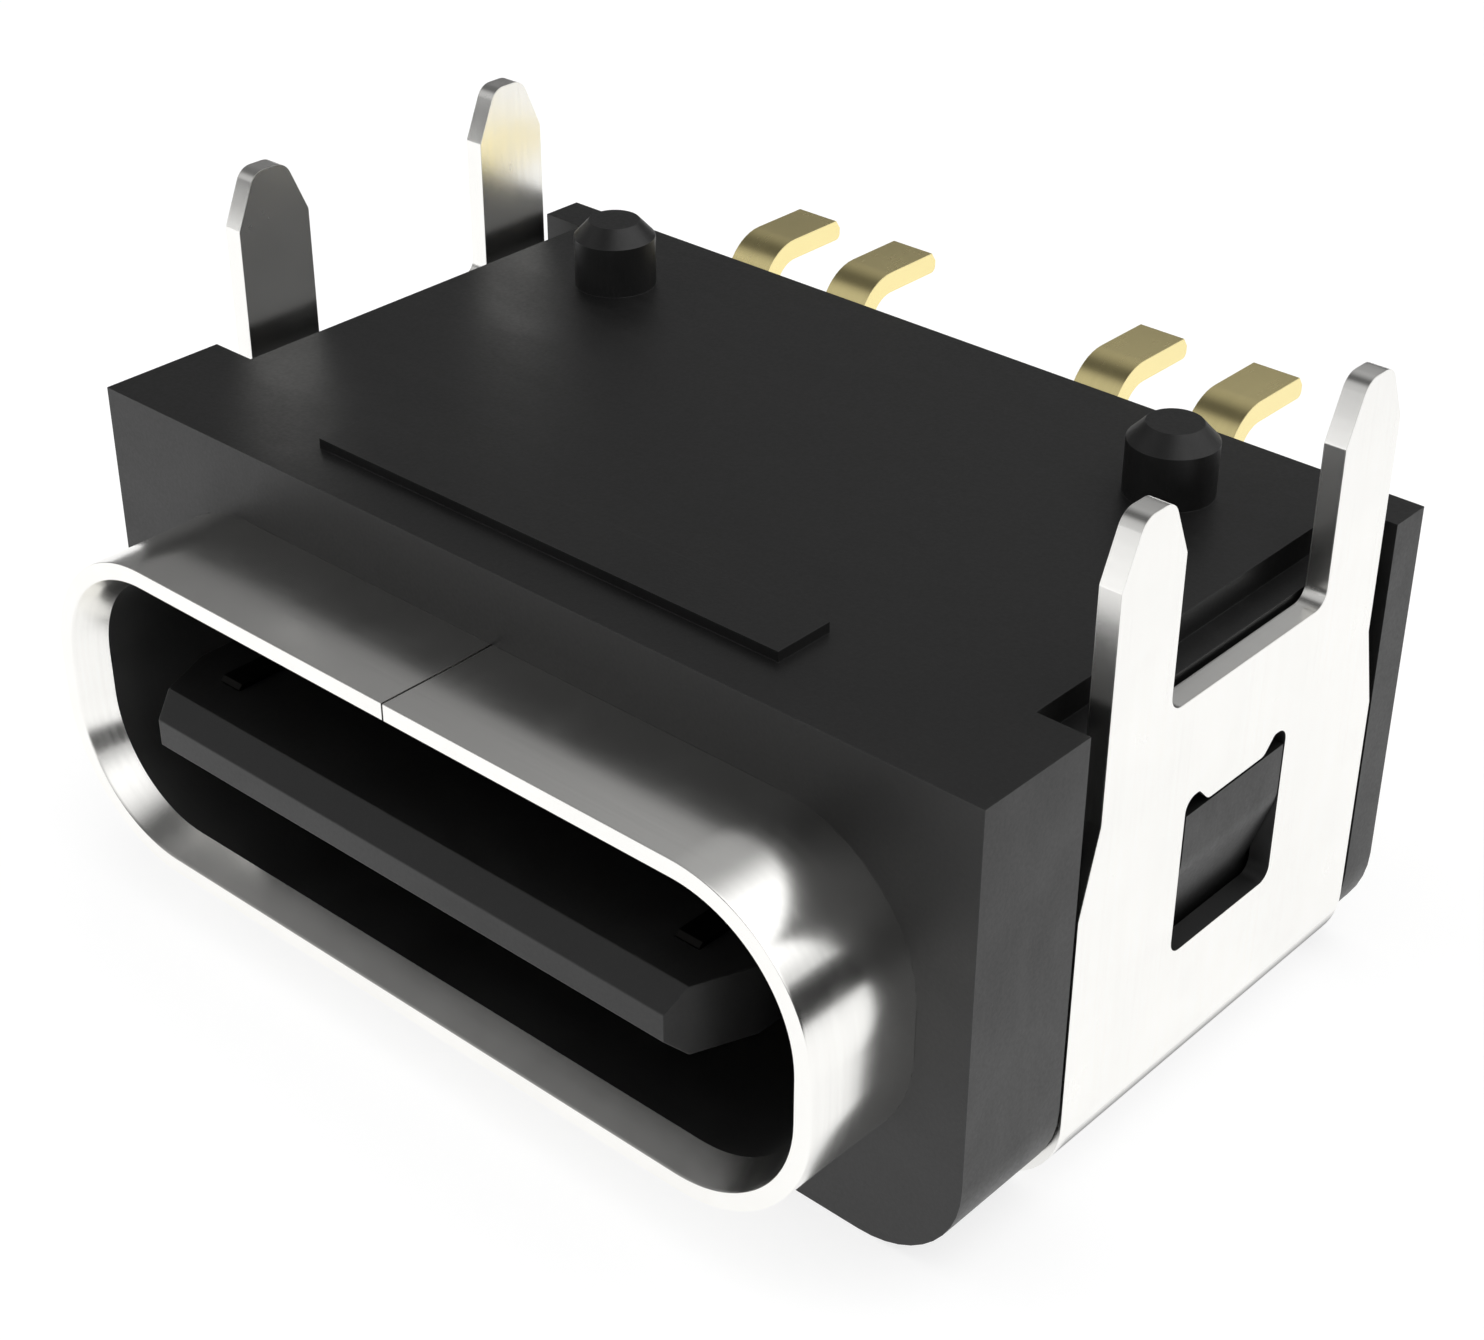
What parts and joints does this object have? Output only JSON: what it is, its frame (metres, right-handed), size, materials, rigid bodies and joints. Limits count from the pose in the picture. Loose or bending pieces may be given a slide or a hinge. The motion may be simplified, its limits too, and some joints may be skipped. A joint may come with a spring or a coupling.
{
  "type": "usb-c socket",
  "caption": "Board-mounted power socket for a reversible plug: moulded housing, racetrack metal mouth, folded cover bracket with board legs and surface-mount tails.",
  "frame": {"origin": "centre of the flat underside of the housing and bracket, under the middle of the housing's length", "axes": "+Z from the underside up through the face that lies on the circuit board, -Y out of the mouth towards the plug, +X to the right seen from the plug's side"},
  "size_m": [0.01, 0.0085, 0.0062],
  "materials": {
    "housing_plastic": "black glass-filled moulding, fine satin",
    "tongue_plastic": "black moulding, satin",
    "shell_steel": "nickel plated, bright satin",
    "bracket_steel": "nickel plated, bright",
    "plate_steel": "stainless, satin",
    "contact_gold": "copper alloy, gold plated, satin"
  },
  "bodies": {
    "root": {"housing": "housing_plastic", "mouth_shell": "shell_steel", "cover_bracket": "bracket_steel", "tongue_moulding": "tongue_plastic", "mid_plate": "plate_steel", "upper_contact_ground_left": "contact_gold", "upper_contact_power_left": "contact_gold", "upper_contact_power_right": "contact_gold", "upper_contact_ground_right": "contact_gold", "lower_contact_ground_left": "contact_gold", "lower_contact_power_left": "contact_gold", "lower_contact_power_right": "contact_gold", "lower_contact_ground_right": "contact_gold"}
  },
  "joints": []
}
